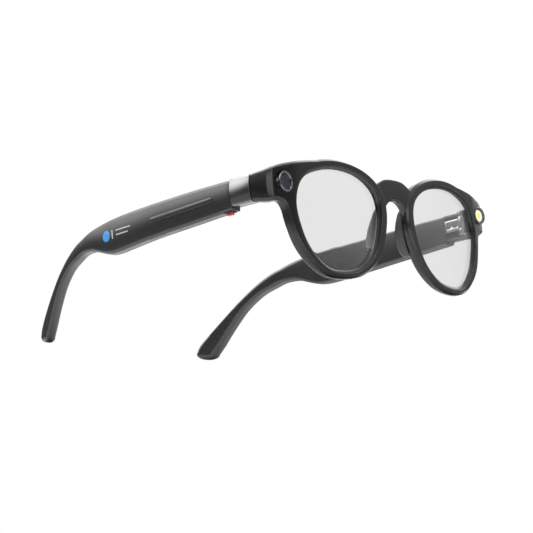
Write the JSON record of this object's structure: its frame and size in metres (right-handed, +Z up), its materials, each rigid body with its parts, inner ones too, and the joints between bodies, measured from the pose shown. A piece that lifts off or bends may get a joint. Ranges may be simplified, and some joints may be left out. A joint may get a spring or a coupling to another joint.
{
  "type": "smart glasses",
  "caption": "Camera spectacles with clear panto lenses, folding arms with open-ear sound and battery inside, bright hinge bands, a camera, a light and a red push button.",
  "frame": {"origin": "middle of the bounding box on the surface it stands on, under the rims and the arm tips", "axes": "+Z up, front faces -Y, arms run back along +Y, +X is the wearer's left"},
  "size_m": [0.146, 0.1492, 0.0474],
  "materials": {
    "frame_plastic": "polished black with soft edge highlights",
    "arm_plastic": "satin charcoal",
    "lens_clear": "clear, faint grey, coated",
    "pad": "soft dark silicone",
    "flex": "amber film",
    "ring_metal": "dark anodised",
    "camera_glass": "coated dark glass",
    "dark_plastic": "fine matte black",
    "board": "green circuit board",
    "light_window": "pale yellow diffuser",
    "button_red": "red, satin",
    "accent_blue": "blue inlay",
    "accent_pale": "pale inlay",
    "battery": "foil pouch",
    "gold": "gold plated",
    "steel": "bright hinge steel",
    "band_metal": "brushed bright band"
  },
  "bodies": {
    "front": {"front_frame": "frame_plastic", "lens_right": "lens_clear", "lens_left": "lens_clear", "nose_pad_right": "pad", "nose_pad_left": "pad", "brow_cover": "frame_plastic", "front_flex": "flex", "camera_ring": "ring_metal", "camera_window": "camera_glass", "camera_barrel": "dark_plastic", "camera_lens": "camera_glass", "camera_board": "board", "light_ring": "ring_metal", "light_window": "light_window", "light_emitter": "light_window", "light_board": "board", "end_cover_right": "dark_plastic", "end_cover_left": "dark_plastic", "front_leaf_right": "steel", "front_leaf_left": "steel", "front_leaf_screws": "steel", "hinge_pin_right": "steel", "hinge_pin_left": "steel"},
    "right_arm": {"band_right": "band_metal", "arm_shell_right": "arm_plastic", "arm_cover_right": "arm_plastic", "arm_leaf_right": "steel", "arm_leaf_screws_right": "steel", "cover_screws_right": "steel", "ear_core_right": "steel", "touch_bar": "arm_plastic", "accent_dot": "accent_blue", "accent_bar": "accent_pale", "accent_lines": "accent_pale", "main_board": "board", "battery_right": "battery", "speaker_right": "dark_plastic", "speaker_mesh_right": "steel", "microphone": "gold", "charge_contacts": "gold", "button_ring": "dark_plastic", "button_switch": "steel"},
    "left_arm": {"band_left": "band_metal", "arm_shell_left": "arm_plastic", "arm_cover_left": "arm_plastic", "arm_leaf_left": "steel", "arm_leaf_screws_left": "steel", "cover_screws_left": "steel", "ear_core_left": "steel", "sound_board": "board", "battery_left": "battery", "speaker_left": "dark_plastic", "speaker_mesh_left": "steel"},
    "button": {"button_cap": "button_red"}
  },
  "joints": [
    {"name": "left_arm_fold", "type": "hinge", "parent": "front", "child": "left_arm", "pos_m": [0.0644, -0.05865, 0.03496], "axis": [0, 0, 1], "range_deg": [0, 85]},
    {"name": "right_arm_fold", "type": "hinge", "parent": "front", "child": "right_arm", "pos_m": [-0.0644, -0.05865, 0.03496], "axis": [0, 0, -1], "range_deg": [0, 72]},
    {"name": "button_press", "type": "slide", "parent": "right_arm", "child": "button", "axis": [0, 0, 1], "range_m": [0, 0.00045], "stiffness_N_per_m": 1200}
  ]
}
